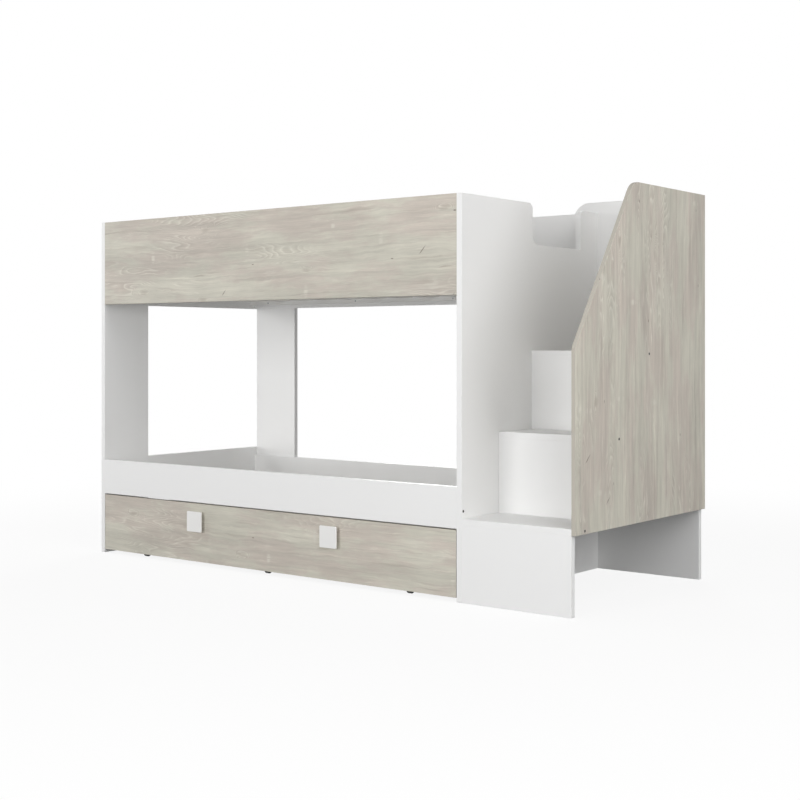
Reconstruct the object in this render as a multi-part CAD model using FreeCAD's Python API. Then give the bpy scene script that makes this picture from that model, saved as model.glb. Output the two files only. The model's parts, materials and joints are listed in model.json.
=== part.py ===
import FreeCAD, Part
import math
import os

from FreeCAD import Vector

# A bunk bed of melamine-faced boards: two bunks, a trundle on casters below them and stairs at the right.
# Millimetres. X runs from the left end to the stairs, Y from the front to the back, Z up from the floor.
# Sizes are worked out from the left end's outer face, the front boards' face and the floor, and the finished
# pieces are then moved so that the origin lies on the floor under the middle of the whole.

# Boards
BOARD = 22.0                    # ends, front boards, stairs
THIN_BOARD = 16.0               # rear boards, stair side, trundle box
EDGE_RADIUS = 1.0               # eased edges of every board
FIT = 0.1                       # room all round a fastener in its hole
RUNNING_GAP = 0.3               # between the closed trundle and the boards that stop it

# Bunks
MATTRESS_LENGTH = 1900.0
MATTRESS_WIDTH = 900.0
LENGTH_ROOM = 10.0              # spare length beside the mattress
WIDTH_ROOM = 24.0               # spare width beside the mattress
BED_HEIGHT = 1456.0
GUARD_HEIGHT = 362.0            # upper boards all round
LOWER_RAIL_BOTTOM = 261.0
LOWER_RAIL_HEIGHT = 149.0
LOWER_REAR_RAIL_HEIGHT = 111.0
UPRIGHT_WIDTH = 253.0           # front left board and rear left board

# Slatted bases
CLEAT_DEPTH = 30.0
CLEAT_HEIGHT = 17.0
UPPER_CLEAT_RAISE = 17.0        # upper cleats above the guard's lower edge
SLAT_THICKNESS = 14.0
SLAT_WIDTH = 70.0
SLAT_EDGE_RADIUS = 2.0
SLAT_COUNT = 13
SLAT_END_ROOM = 1.0
SLAT_SIDE_MARGIN = 20.0         # first and last slat from the end boards

# Entry through the right end board
ENTRY_WIDTH = 356.0
ENTRY_DEPTH = 157.0             # sill below the top of the bed
ENTRY_REAR_MARGIN = 137.0       # board left behind the notch
ENTRY_TOP_RADIUS = 25.0
ENTRY_SILL_RADIUS = 40.0        # front end of the sill; its rear end is square

# Stairs
STAIR_WIDTH = 450.0
STAIR_ABOVE_BED = 44.0          # rear board and side above the top of the bed
STEP_RISE = 298.0
FIRST_TREAD_DEPTH = 236.0
SECOND_TREAD_DEPTH = 224.0
SIDE_KNEE_HEIGHT = 906.0        # the side's front edge is upright to here, then slopes back
SIDE_SLOPE_RUN = 404.0
STAIR_CORNER_RADIUS = 75.0
REAR_PANEL_OVERLAP = 94.0       # rear board of the stairs behind the bunks

# Trundle
TRUNDLE_SIDE_GAP = 2.5
TRUNDLE_TOP_GAP = 5.0
TRUNDLE_FLOOR_GAP = 15.0
BOX_SIDE_GAP = 12.0             # box side to end board
BOX_BOTTOM = 25.0
BOX_BELOW_FRONT = 56.0          # upper edge of the box below that of the trundle's front
BEARER_WIDTH = 70.0             # flat boards that carry the slats and the casters
CENTRE_RAIL_HEIGHT = 38.0
TRUNDLE_SLAT_COUNT = 13
KNOB_SIZE = 84.0
KNOB_THICKNESS = 5.0
KNOB_STANDOFF = 17.0
KNOB_BOSS_DIAMETER = 30.0
KNOB_CORNER_RADIUS = 4.0
KNOB_EDGE_RADIUS = 2.0
KNOB_HEIGHT = 183.0
KNOB_SPACING = 733.0

# Casters
WHEEL_DIAMETER = 30.0
WHEEL_WIDTH = 20.0
WHEEL_EDGE_RADIUS = 3.0
WHEEL_DISH_DEPTH = 2.0
WHEEL_RIM_WIDTH = 4.5
WHEEL_HUB_DIAMETER = 12.0
WHEEL_SIDE_GAP = 1.0
WHEEL_BOARD_GAP = 2.0           # wheel to the trundle's front or back
AXLE_DIAMETER = 6.0
AXLE_RUNNING_GAP = 0.25
AXLE_HEAD_DIAMETER = 10.0
AXLE_HEAD_THICKNESS = 2.0
FORK_SHEET = 2.5
FORK_WHEEL_GAP = 9.0            # wheel to the plate above it
FORK_CHEEK_WIDTH = 16.0
FORK_WING = 18.5                # plate past each cheek
FORK_PLATE_DEPTH = 32.0
FORK_SCREW_INSET = 7.0
CASTER_INSET = 208.0            # outer casters from the inner ends of the trundle box

# Fasteners
CONFIRMAT_LENGTH = 50.0
CONFIRMAT_DIAMETER = 7.0
CONFIRMAT_HEAD = 10.0
CONFIRMAT_HEAD_DEPTH = 3.5
WOOD_SCREW_DIAMETER = 4.0
WOOD_SCREW_HEAD = 8.0
WOOD_SCREW_HEAD_DEPTH = 2.5
CLEAT_SCREW_BITE = 10.0
SLAT_SCREW_BITE = 12.0
CASTER_SCREW_BITE = 12.0
KNOB_SCREW_DIAMETER = 4.0
KNOB_SCREW_HEAD = 8.0
KNOB_SCREW_HEAD_DEPTH = 2.5
KNOB_SCREW_BITE = 14.0          # into the knob's boss
KNOB_SOCKET_DEPTH = 1.75
SOCKET_SHARE = 0.4              # width of the driver socket to the head
HEX_SIDES = 6
CAM_DIAMETER = 15.0
CAM_PAST_MIDDLE = 4.5           # a cam reaches past the middle of its board
CAM_REACH = 34.0
CAM_SLOT_LENGTH = 10.0
CAM_SLOT_WIDTH = 1.6
CAM_SLOT_DEPTH = 2.0
CAM_BOLT_DIAMETER = 6.0
CAM_BOLT_BITE = 11.0
CAM_BOLT_GRIP = 3.0             # end of the bolt inside the cam
DOWEL_DIAMETER = 8.0
DOWEL_LENGTH = 30.0
DOWEL_SHALLOW = 9.0             # depth of a dowel in a thin board

# Places of the fasteners along the boards
CONFIRMAT_ABOVE_RAIL = 63.0     # from the lower rail's lower edge
TREAD_SCREW_SETBACK = 62.0
GUARD_FIXING_INSET = 100.0      # from the guard's upper and lower edges
STAIR_DOWEL_INSET = 80.0
RISER_DOWEL_INSET = 70.0
BOX_FIXING_INSET = 30.0         # from the trundle box's upper edge
BOX_FIXING_SPACING = 60.0
CLEAT_SCREW_INSET = 120.0
CLEAT_SCREW_COUNT = 4
REAR_PANEL_SCREW_INSET = 160.0
POST_SCREW_INSET = 60.0

NEAR = 1e-3                     # distance below which two points count as one

# Lines along X
inner_left = BOARD
inner_right = inner_left + MATTRESS_LENGTH + LENGTH_ROOM
stair_left = inner_right + BOARD
stair_right = stair_left + STAIR_WIDTH
overall_length = stair_right + THIN_BOARD
bed_middle = (inner_left + inner_right) / 2

# Lines along Y
inner_front = BOARD
inner_rear = inner_front + MATTRESS_WIDTH + WIDTH_ROOM
rear_board_front = inner_rear + THIN_BOARD
bed_rear = rear_board_front + BOARD
entry_rear = rear_board_front - ENTRY_REAR_MARGIN
entry_front = entry_rear - ENTRY_WIDTH
knob_reach = KNOB_STANDOFF + KNOB_THICKNESS

# Lines along Z
guard_bottom = BED_HEIGHT - GUARD_HEIGHT
lower_rail_top = LOWER_RAIL_BOTTOM + LOWER_RAIL_HEIGHT
lower_rear_rail_top = LOWER_RAIL_BOTTOM + LOWER_REAR_RAIL_HEIGHT
upper_cleat_bottom = guard_bottom + UPPER_CLEAT_RAISE
entry_sill = BED_HEIGHT - ENTRY_DEPTH
stair_height = BED_HEIGHT + STAIR_ABOVE_BED

X_AXIS = Vector(1, 0, 0)
Y_AXIS = Vector(0, 1, 0)
Z_AXIS = Vector(0, 0, 1)

pieces = {}
groups = {}


# Shared shapes

def board(x_low, x_high, y_low, y_high, z_low, z_high):
    return Part.makeBox(x_high - x_low, y_high - y_low, z_high - z_low, Vector(x_low, y_low, z_low))


def eased(shape, radius=EDGE_RADIUS):
    return shape.makeFillet(radius, shape.Edges)


def eased_board(x_low, x_high, y_low, y_high, z_low, z_high):
    return eased(board(x_low, x_high, y_low, y_high, z_low, z_high))


def rod(point, direction, length, diameter):
    return Part.makeCylinder(diameter / 2, length, point, direction)


def round_corners(shape, radius, corners, along):
    """Round the edges that run in the direction along and pass through one of the corners."""
    chosen = []
    for edge in shape.Edges:
        line = edge.Vertexes[-1].Point - edge.Vertexes[0].Point
        if line.Length < NEAR or line.cross(along).Length > NEAR:
            continue
        middle = edge.CenterOfMass
        for corner in corners:
            if (middle - corner).cross(along).Length < NEAR:
                chosen.append(edge)
    return shape.makeFillet(radius, chosen)


def hex_socket(point, direction, width, depth):
    across = X_AXIS if abs(direction.dot(X_AXIS)) < NEAR else Y_AXIS
    other = direction.cross(across)
    corners = []
    for step in range(HEX_SIDES + 1):
        turn = 2 * math.pi * step / HEX_SIDES
        corners.append(point + across * (width / 2 * math.cos(turn)) + other * (width / 2 * math.sin(turn)))
    return Part.Face(Part.makePolygon(corners)).extrude(direction * depth)


def add_to_group(name, solid):
    groups.setdefault(name, []).append(solid)


def drill(names, cutter):
    for name in names:
        pieces[name] = pieces[name].cut(cutter)


# Fasteners, each with the holes that it needs

def countersunk(point, direction, diameter, length, head, head_depth):
    cone = Part.makeCone(head / 2, diameter / 2, head_depth, point, direction)
    return cone.fuse(rod(point, direction, length, diameter)).removeSplitter()


def screw(group, boards, point, direction, diameter, length, head, head_depth):
    """A countersunk screw with its head flush at point, driven along direction through the boards."""
    body = countersunk(point, direction, diameter, length, head, head_depth)
    socket = hex_socket(point, direction, head * SOCKET_SHARE, head_depth)
    add_to_group(group, body.cut(socket))
    drill(boards, countersunk(point, direction, diameter + 2 * FIT, length + FIT, head + 2 * FIT, head_depth))


def confirmat(group, boards, point, direction):
    screw(group, boards, point, direction, CONFIRMAT_DIAMETER, CONFIRMAT_LENGTH,
          CONFIRMAT_HEAD, CONFIRMAT_HEAD_DEPTH)


def wood_screw(group, boards, point, direction, length):
    screw(group, boards, point, direction, WOOD_SCREW_DIAMETER, length,
          WOOD_SCREW_HEAD, WOOD_SCREW_HEAD_DEPTH)


def dowel(group, near, far, point, direction, near_depth=DOWEL_LENGTH / 2):
    """A dowel across the joint at point: near_depth of it in the near board, the rest in the far one."""
    start = point - direction * near_depth
    add_to_group(group, rod(start, direction, DOWEL_LENGTH, DOWEL_DIAMETER))
    hole = rod(start - direction * FIT, direction, DOWEL_LENGTH + 2 * FIT, DOWEL_DIAMETER + 2 * FIT)
    drill([near, far], hole)


def cam_joint(prefix, held, carrier, point, inward, face, thickness):
    """A bolt in the carrier at point, gripped by a cam sunk in that face of the held board."""
    centre = point + inward * CAM_REACH
    top = centre + face * (thickness / 2)
    depth = thickness / 2 + CAM_PAST_MIDDLE
    bolt_length = CAM_BOLT_BITE + CAM_REACH - CAM_DIAMETER / 2 + CAM_BOLT_GRIP
    bolt_start = point - inward * CAM_BOLT_BITE
    bore = rod(bolt_start - inward * FIT, inward, bolt_length + 2 * FIT, CAM_BOLT_DIAMETER + 2 * FIT)
    cam = rod(top, face * -1, depth, CAM_DIAMETER).cut(bore)
    across = inward.cross(face)
    for along, beside in ((inward, across), (across, inward)):
        corner = top - along * (CAM_SLOT_LENGTH / 2) - beside * (CAM_SLOT_WIDTH / 2)
        edges = [corner, corner + along * CAM_SLOT_LENGTH]
        edges += [edges[1] + beside * CAM_SLOT_WIDTH, corner + beside * CAM_SLOT_WIDTH, corner]
        cam = cam.cut(Part.Face(Part.makePolygon(edges)).extrude(face * -CAM_SLOT_DEPTH))
    add_to_group(prefix + "cam_locks", cam)
    add_to_group(prefix + "cam_bolts", rod(bolt_start, inward, bolt_length, CAM_BOLT_DIAMETER))
    drill([held, carrier], bore)
    drill([held], rod(top, face * -1, depth + FIT, CAM_DIAMETER + 2 * FIT))


# Left end and rear left post

def make_left_end():
    pieces["left_front_upright"] = eased_board(0, BOARD, 0, UPRIGHT_WIDTH, 0, BED_HEIGHT)
    pieces["left_upper_end_panel"] = eased_board(0, BOARD, UPRIGHT_WIDTH, bed_rear, guard_bottom, BED_HEIGHT)
    pieces["left_lower_end_rail"] = eased_board(0, BOARD, UPRIGHT_WIDTH, bed_rear,
                                                LOWER_RAIL_BOTTOM, lower_rail_top)
    pieces["rear_left_post"] = eased_board(inner_left, inner_left + UPRIGHT_WIDTH,
                                           rear_board_front, bed_rear, 0, BED_HEIGHT)


# Right end board, with the notch through which the upper bunk is entered from the stairs

def make_partition():
    panel = board(inner_right, stair_left, 0, rear_board_front, 0, BED_HEIGHT)
    panel = panel.cut(board(inner_right, stair_left, entry_front, entry_rear, entry_sill, BED_HEIGHT))
    middle = inner_right + BOARD / 2
    tops = [Vector(middle, y, BED_HEIGHT) for y in (entry_front, entry_rear)]
    sill = [Vector(middle, entry_front, entry_sill)]
    panel = round_corners(panel, ENTRY_TOP_RADIUS, tops, X_AXIS)
    pieces["stair_partition_panel"] = eased(round_corners(panel, ENTRY_SILL_RADIUS, sill, X_AXIS))


# Long boards of both bunks

def make_long_boards():
    pieces["upper_front_guard"] = eased_board(inner_left, inner_right, 0, BOARD, guard_bottom, BED_HEIGHT)
    pieces["lower_front_rail"] = eased_board(inner_left, inner_right, 0, BOARD,
                                             LOWER_RAIL_BOTTOM, lower_rail_top)
    pieces["upper_rear_guard"] = eased_board(inner_left, inner_right, inner_rear, rear_board_front,
                                             guard_bottom, BED_HEIGHT)
    pieces["lower_rear_rail"] = eased_board(inner_left, inner_right, inner_rear, rear_board_front,
                                            LOWER_RAIL_BOTTOM, lower_rear_rail_top)


# Slatted bases: two cleats and a row of slats across them

def slat_row(group, count, x_low, x_high, y_low, y_high, z_low, screws, bearers):
    """A row of slats along X; each is screwed down at the two bearers, given as name and middle line."""
    first = x_low + SLAT_SIDE_MARGIN
    pitch = (x_high - x_low - 2 * SLAT_SIDE_MARGIN - SLAT_WIDTH) / (count - 1)
    for index in range(count):
        left = first + index * pitch
        blank = board(left, left + SLAT_WIDTH, y_low, y_high, z_low, z_low + SLAT_THICKNESS)
        slat = eased(blank, SLAT_EDGE_RADIUS)
        for bearer, line in bearers:
            pieces["slat"] = slat
            head = Vector(left + SLAT_WIDTH / 2, line, z_low + SLAT_THICKNESS)
            wood_screw(screws, ["slat", bearer], head, Z_AXIS * -1, SLAT_THICKNESS + SLAT_SCREW_BITE)
            slat = pieces.pop("slat")
        add_to_group(group, slat)


def make_bunk_base(level, cleat_bottom, front_board, rear_board):
    cleat_top = cleat_bottom + CLEAT_HEIGHT
    front_name = level + "_front_cleat"
    rear_name = level + "_rear_cleat"
    pieces[front_name] = eased_board(inner_left, inner_right, inner_front, inner_front + CLEAT_DEPTH,
                                     cleat_bottom, cleat_top)
    pieces[rear_name] = eased_board(inner_left, inner_right, inner_rear - CLEAT_DEPTH, inner_rear,
                                    cleat_bottom, cleat_top)
    length = CLEAT_DEPTH + CLEAT_SCREW_BITE
    spacing = (inner_right - inner_left - 2 * CLEAT_SCREW_INSET) / (CLEAT_SCREW_COUNT - 1)
    for index in range(CLEAT_SCREW_COUNT):
        x = inner_left + CLEAT_SCREW_INSET + index * spacing
        height = cleat_bottom + CLEAT_HEIGHT / 2
        front_head = Vector(x, inner_front + CLEAT_DEPTH, height)
        rear_head = Vector(x, inner_rear - CLEAT_DEPTH, height)
        wood_screw("wood_screws", [front_name, front_board], front_head, Y_AXIS * -1, length)
        wood_screw("wood_screws", [rear_name, rear_board], rear_head, Y_AXIS, length)
    bearers = ((front_name, inner_front + CLEAT_DEPTH / 2), (rear_name, inner_rear - CLEAT_DEPTH / 2))
    slat_row(level + "_slats", SLAT_COUNT, inner_left, inner_right, inner_front + SLAT_END_ROOM,
             inner_rear - SLAT_END_ROOM, cleat_top, "wood_screws", bearers)


# Stairs: risers under the front edges of the treads, a rear board and a sloping side

def step_fronts():
    return [0.0, FIRST_TREAD_DEPTH, FIRST_TREAD_DEPTH + SECOND_TREAD_DEPTH]


def make_steps():
    fronts = step_fronts()
    for index, front in enumerate(fronts):
        top = STEP_RISE * (index + 1)
        last = index == len(fronts) - 1
        rear = rear_board_front if last else fronts[index + 1] + BOARD
        riser = eased_board(stair_left, stair_right, front, front + BOARD, STEP_RISE * index, top - BOARD)
        tread = eased_board(stair_left, stair_right, front, rear, top - BOARD, top)
        pieces["stair_riser_%d" % (index + 1)] = riser
        pieces["stair_tread_%d" % (index + 1)] = tread


def make_stair_rear_panel():
    left = stair_left - BOARD - REAR_PANEL_OVERLAP
    panel = board(left, stair_right, rear_board_front, bed_rear, 0, stair_height)
    corner = Vector(left, rear_board_front + BOARD / 2, stair_height)
    pieces["stair_rear_panel"] = eased(round_corners(panel, STAIR_CORNER_RADIUS, [corner], Y_AXIS))


def make_stair_side_panel():
    bottom = STEP_RISE - BOARD
    outline = [(0, bottom), (bed_rear, bottom), (bed_rear, stair_height), (SIDE_SLOPE_RUN, stair_height),
               (0, SIDE_KNEE_HEIGHT), (0, bottom)]
    wire = Part.makePolygon([Vector(stair_right, y, z) for y, z in outline])
    panel = Part.Face(wire).extrude(X_AXIS * THIN_BOARD)
    corner = Vector(stair_right + THIN_BOARD / 2, SIDE_SLOPE_RUN, stair_height)
    pieces["stair_side_panel"] = eased(round_corners(panel, STAIR_CORNER_RADIUS, [corner], X_AXIS))


# Fixings of the fixed frame

def fix_bunks():
    rail_height = LOWER_RAIL_BOTTOM + CONFIRMAT_ABOVE_RAIL
    front_line = BOARD / 2
    rear_line = inner_rear + THIN_BOARD / 2
    post_line = rear_board_front + BOARD / 2
    guard_heights = (guard_bottom + GUARD_FIXING_INSET, BED_HEIGHT - GUARD_FIXING_INSET)

    for left_board, rail, line in (("left_front_upright", "lower_front_rail", front_line),
                                   ("left_lower_end_rail", "lower_rear_rail", rear_line)):
        confirmat("confirmat_screws", [left_board, rail], Vector(0, line, rail_height), X_AXIS)
        confirmat("confirmat_screws", ["stair_partition_panel", rail],
                  Vector(stair_left, line, rail_height), X_AXIS * -1)

    for height in guard_heights:
        confirmat("confirmat_screws", ["left_upper_end_panel", "rear_left_post"],
                  Vector(0, post_line, height), X_AXIS)
        cam_joint("", "left_upper_end_panel", "left_front_upright",
                  Vector(BOARD / 2, UPRIGHT_WIDTH, height), Y_AXIS, X_AXIS, BOARD)
        for guard, line, face, thickness in (("upper_front_guard", front_line, Y_AXIS, BOARD),
                                             ("upper_rear_guard", rear_line, Y_AXIS * -1, THIN_BOARD)):
            left_board = "left_front_upright" if guard == "upper_front_guard" else "left_upper_end_panel"
            cam_joint("", guard, left_board, Vector(inner_left, line, height), X_AXIS, face, thickness)
            cam_joint("", guard, "stair_partition_panel", Vector(inner_right, line, height),
                      X_AXIS * -1, face, thickness)
    confirmat("confirmat_screws", ["left_lower_end_rail", "rear_left_post"],
              Vector(0, post_line, rail_height), X_AXIS)
    cam_joint("", "left_lower_end_rail", "left_front_upright",
              Vector(BOARD / 2, UPRIGHT_WIDTH, rail_height), Y_AXIS, X_AXIS, BOARD)

    for x in (inner_left + POST_SCREW_INSET, inner_left + UPRIGHT_WIDTH - POST_SCREW_INSET):
        for rail, height in (("lower_rear_rail", rail_height), ("upper_rear_guard", guard_heights[0]),
                             ("upper_rear_guard", guard_heights[1])):
            wood_screw("wood_screws", ["rear_left_post", rail], Vector(x, bed_rear, height), Y_AXIS * -1,
                       BOARD + CLEAT_SCREW_BITE)


def fix_stairs():
    dowel_lines = (stair_left + STAIR_DOWEL_INSET, stair_right - STAIR_DOWEL_INSET)
    for index, front in enumerate(step_fronts()):
        riser = "stair_riser_%d" % (index + 1)
        tread = "stair_tread_%d" % (index + 1)
        top = STEP_RISE * (index + 1)
        middle = front + BOARD / 2
        screw_line = front + TREAD_SCREW_SETBACK
        confirmat("confirmat_screws", ["stair_side_panel", tread],
                  Vector(overall_length, screw_line, top - BOARD / 2), X_AXIS * -1)
        confirmat("confirmat_screws", ["stair_partition_panel", tread],
                  Vector(inner_right, screw_line, top - BOARD / 2), X_AXIS)
        for x in dowel_lines:
            dowel("dowels", riser, tread, Vector(x, middle, top - BOARD), Z_AXIS)
            if index > 0:
                dowel("dowels", "stair_tread_%d" % index, riser, Vector(x, middle, STEP_RISE * index), Z_AXIS)
        low = STEP_RISE * index + RISER_DOWEL_INSET
        high = top - BOARD - RISER_DOWEL_INSET
        for height in (low, high):
            dowel("dowels", "stair_partition_panel", riser, Vector(stair_left, middle, height), X_AXIS)
            if index > 0:
                dowel("dowels", "stair_side_panel", riser, Vector(stair_right, middle, height), X_AXIS * -1,
                      near_depth=DOWEL_SHALLOW)

    # The last tread is the platform, which the rear board carries
    for x in dowel_lines:
        confirmat("confirmat_screws", ["stair_rear_panel", tread],
                  Vector(x, bed_rear, top - BOARD / 2), Y_AXIS * -1)
    side_bottom = STEP_RISE - BOARD
    partition_line = stair_left - BOARD / 2
    for height in (REAR_PANEL_SCREW_INSET, BED_HEIGHT / 2, BED_HEIGHT - REAR_PANEL_SCREW_INSET):
        confirmat("confirmat_screws", ["stair_rear_panel", "stair_partition_panel"],
                  Vector(partition_line, bed_rear, height), Y_AXIS * -1)
    for height in (side_bottom + REAR_PANEL_SCREW_INSET, (side_bottom + stair_height) / 2,
                   stair_height - REAR_PANEL_SCREW_INSET):
        cam_joint("", "stair_rear_panel", "stair_side_panel",
                  Vector(stair_right, rear_board_front + BOARD / 2, height), X_AXIS * -1, Y_AXIS * -1, BOARD)


# Trundle: a low box with a decorated front, slats and six fixed casters

box_left = inner_left + BOX_SIDE_GAP
box_right = inner_right - BOX_SIDE_GAP
box_inner_left = box_left + THIN_BOARD
box_inner_right = box_right - THIN_BOARD
box_front = BOARD
box_rear = rear_board_front - RUNNING_GAP
box_inner_rear = box_rear - THIN_BOARD
trundle_front_top = LOWER_RAIL_BOTTOM - TRUNDLE_TOP_GAP
box_top = trundle_front_top - BOX_BELOW_FRONT
box_middle = (box_front + box_inner_rear) / 2
fork_height = WHEEL_DIAMETER + FORK_WHEEL_GAP
bearer_bottom = fork_height + FORK_SHEET
bearer_top = bearer_bottom + BOARD
front_bearer_line = box_front + BEARER_WIDTH / 2
rear_bearer_line = box_inner_rear - BEARER_WIDTH / 2


def make_trundle_box():
    pieces["trundle_front"] = eased_board(inner_left + TRUNDLE_SIDE_GAP, inner_right - TRUNDLE_SIDE_GAP,
                                          0, BOARD, TRUNDLE_FLOOR_GAP, trundle_front_top)
    pieces["trundle_left_side"] = eased_board(box_left, box_inner_left, box_front, box_inner_rear,
                                              BOX_BOTTOM, box_top)
    pieces["trundle_right_side"] = eased_board(box_inner_right, box_right, box_front, box_inner_rear,
                                               BOX_BOTTOM, box_top)
    pieces["trundle_back"] = eased_board(box_left, box_right, box_inner_rear, box_rear, BOX_BOTTOM, box_top)
    pieces["trundle_front_bearer"] = eased_board(box_inner_left, box_inner_right, box_front,
                                                 box_front + BEARER_WIDTH, bearer_bottom, bearer_top)
    pieces["trundle_rear_bearer"] = eased_board(box_inner_left, box_inner_right,
                                                box_inner_rear - BEARER_WIDTH, box_inner_rear,
                                                bearer_bottom, bearer_top)
    pieces["trundle_centre_rail"] = eased_board(box_inner_left, box_inner_right,
                                                box_middle - BOARD / 2, box_middle + BOARD / 2,
                                                bearer_top - CENTRE_RAIL_HEIGHT, bearer_top)
    bearers = (("trundle_front_bearer", front_bearer_line), ("trundle_rear_bearer", rear_bearer_line))
    slat_row("trundle_slats", TRUNDLE_SLAT_COUNT, box_inner_left, box_inner_right, box_front + SLAT_END_ROOM,
             box_inner_rear - SLAT_END_ROOM, bearer_top, "trundle_slat_screws", bearers)


def fix_trundle_box():
    high = box_top - BOX_FIXING_INSET
    for side, outer, inward in (("trundle_left_side", box_left, X_AXIS),
                                ("trundle_right_side", box_right, X_AXIS * -1)):
        side_middle = outer + inward.x * THIN_BOARD / 2
        for rail, line, height in (("trundle_front_bearer", front_bearer_line, bearer_top - BOARD / 2),
                                   ("trundle_rear_bearer", rear_bearer_line, bearer_top - BOARD / 2),
                                   ("trundle_centre_rail", box_middle, bearer_top - CENTRE_RAIL_HEIGHT / 2)):
            confirmat("trundle_confirmats", [side, rail], Vector(outer, line, height), inward)
        for height in (high - BOX_FIXING_SPACING, high):
            confirmat("trundle_confirmats", ["trundle_back", side],
                      Vector(side_middle, box_rear, height), Y_AXIS * -1)
            cam_joint("trundle_", side, "trundle_front", Vector(side_middle, box_front, height), Y_AXIS,
                      inward, THIN_BOARD)


def make_knobs():
    for name, side in (("left_knob", -1), ("right_knob", 1)):
        x = bed_middle + side * KNOB_SPACING / 2
        half = KNOB_SIZE / 2
        plate = board(x - half, x + half, -knob_reach, -KNOB_STANDOFF, KNOB_HEIGHT - half, KNOB_HEIGHT + half)
        corners = [Vector(x + i * half, 0, KNOB_HEIGHT + k * half) for i in (-1, 1) for k in (-1, 1)]
        plate = round_corners(plate, KNOB_CORNER_RADIUS, corners, Y_AXIS)
        rim = [edge for edge in plate.Edges if abs(edge.CenterOfMass.y + knob_reach) < NEAR]
        plate = plate.makeFillet(KNOB_EDGE_RADIUS, rim)
        boss = rod(Vector(x, 0, KNOB_HEIGHT), Y_AXIS * -1, KNOB_STANDOFF, KNOB_BOSS_DIAMETER)
        pieces[name] = plate.fuse(boss).removeSplitter()

        head = Vector(x, BOARD, KNOB_HEIGHT)
        length = BOARD + KNOB_SCREW_BITE
        shank = rod(head, Y_AXIS * -1, length, KNOB_SCREW_DIAMETER)
        cap = rod(head, Y_AXIS, KNOB_SCREW_HEAD_DEPTH, KNOB_SCREW_HEAD)
        top = head + Y_AXIS * KNOB_SCREW_HEAD_DEPTH
        socket = hex_socket(top, Y_AXIS * -1, KNOB_SCREW_HEAD * SOCKET_SHARE, KNOB_SOCKET_DEPTH)
        add_to_group("knob_screws", shank.fuse(cap).removeSplitter().cut(socket))
        drill([name, "trundle_front"], rod(head, Y_AXIS * -1, length + FIT, KNOB_SCREW_DIAMETER + 2 * FIT))


# Casters

axle_height = WHEEL_DIAMETER / 2
fork_inside = WHEEL_WIDTH / 2 + WHEEL_SIDE_GAP
fork_outside = fork_inside + FORK_SHEET
fork_half_length = fork_outside + FORK_WING
front_caster_line = box_front + WHEEL_BOARD_GAP + axle_height
rear_caster_line = box_inner_rear - WHEEL_BOARD_GAP - axle_height


def caster_wheel(x, y):
    """A dished wheel with a rounded tread, turned about its axle."""
    radius = WHEEL_DIAMETER / 2
    half = WHEEL_WIDTH / 2
    bore = AXLE_DIAMETER / 2 + AXLE_RUNNING_GAP
    dish = half - WHEEL_DISH_DEPTH
    rim = radius - WHEEL_RIM_WIDTH
    hub = WHEEL_HUB_DIAMETER / 2
    flat = half - WHEEL_EDGE_RADIUS
    bend = WHEEL_EDGE_RADIUS * math.sqrt(0.5)

    def at(across, out):
        return Vector(x + across, y, axle_height + out)

    shoulder = radius - WHEEL_EDGE_RADIUS
    edges = [Part.makePolygon([at(-flat, radius), at(flat, radius)]).Edges[0],
             Part.Arc(at(flat, radius), at(flat + bend, shoulder + bend), at(half, shoulder)).toShape()]
    right = [at(half, shoulder), at(half, rim), at(dish, rim), at(dish, hub), at(half, hub), at(half, bore)]
    left = [at(-half, bore), at(-half, hub), at(-dish, hub), at(-dish, rim), at(-half, rim),
            at(-half, shoulder)]
    edges += Part.makePolygon(right + left).Edges
    last_arc = Part.Arc(at(-half, shoulder), at(-flat - bend, shoulder + bend), at(-flat, radius))
    edges.append(last_arc.toShape())
    face = Part.Face(Part.Wire(edges))
    return face.revolve(Vector(x, y, axle_height), X_AXIS, 360)


def caster_fork(x, y):
    """A bent plate with two cheeks that carry the axle."""
    half_plate = FORK_PLATE_DEPTH / 2
    half_cheek = FORK_CHEEK_WIDTH / 2
    fork = board(x - fork_half_length, x + fork_half_length, y - half_plate, y + half_plate,
                 fork_height, bearer_bottom)
    for low, high in ((-fork_outside, -fork_inside), (fork_inside, fork_outside)):
        cheek = board(x + low, x + high, y - half_cheek, y + half_cheek, axle_height, fork_height)
        cheek = cheek.fuse(rod(Vector(x + low, y, axle_height), X_AXIS, FORK_SHEET, FORK_CHEEK_WIDTH))
        fork = fork.fuse(cheek)
    return fork.removeSplitter()


def make_caster(name, bearer, x, y):
    pieces[name + "_wheel"] = caster_wheel(x, y)
    pieces[name + "_fork"] = caster_fork(x, y)
    start = Vector(x - fork_outside, y, axle_height)
    width = 2 * fork_outside
    axle = rod(start, X_AXIS, width, AXLE_DIAMETER)
    axle = axle.fuse(rod(start, X_AXIS * -1, AXLE_HEAD_THICKNESS, AXLE_HEAD_DIAMETER))
    axle = axle.fuse(rod(start + X_AXIS * width, X_AXIS, AXLE_HEAD_THICKNESS, AXLE_HEAD_DIAMETER))
    add_to_group("caster_axles", axle.removeSplitter())
    drill([name + "_fork"], rod(start, X_AXIS, width, AXLE_DIAMETER + 2 * FIT))
    for i in (-1, 1):
        for j in (-1, 1):
            point = Vector(x + i * (fork_half_length - FORK_SCREW_INSET),
                           y + j * (FORK_PLATE_DEPTH / 2 - FORK_SCREW_INSET), fork_height)
            wood_screw("caster_screws", [name + "_fork", bearer], point, Z_AXIS,
                       FORK_SHEET + CASTER_SCREW_BITE)


def make_casters():
    for row, bearer, line in (("front", "trundle_front_bearer", front_caster_line),
                              ("rear", "trundle_rear_bearer", rear_caster_line)):
        for side, place in (("left", box_inner_left + CASTER_INSET), ("middle", bed_middle),
                            ("right", box_inner_right - CASTER_INSET)):
            make_caster("%s_%s_caster" % (row, side), bearer, place, line)


# The whole bed

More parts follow.
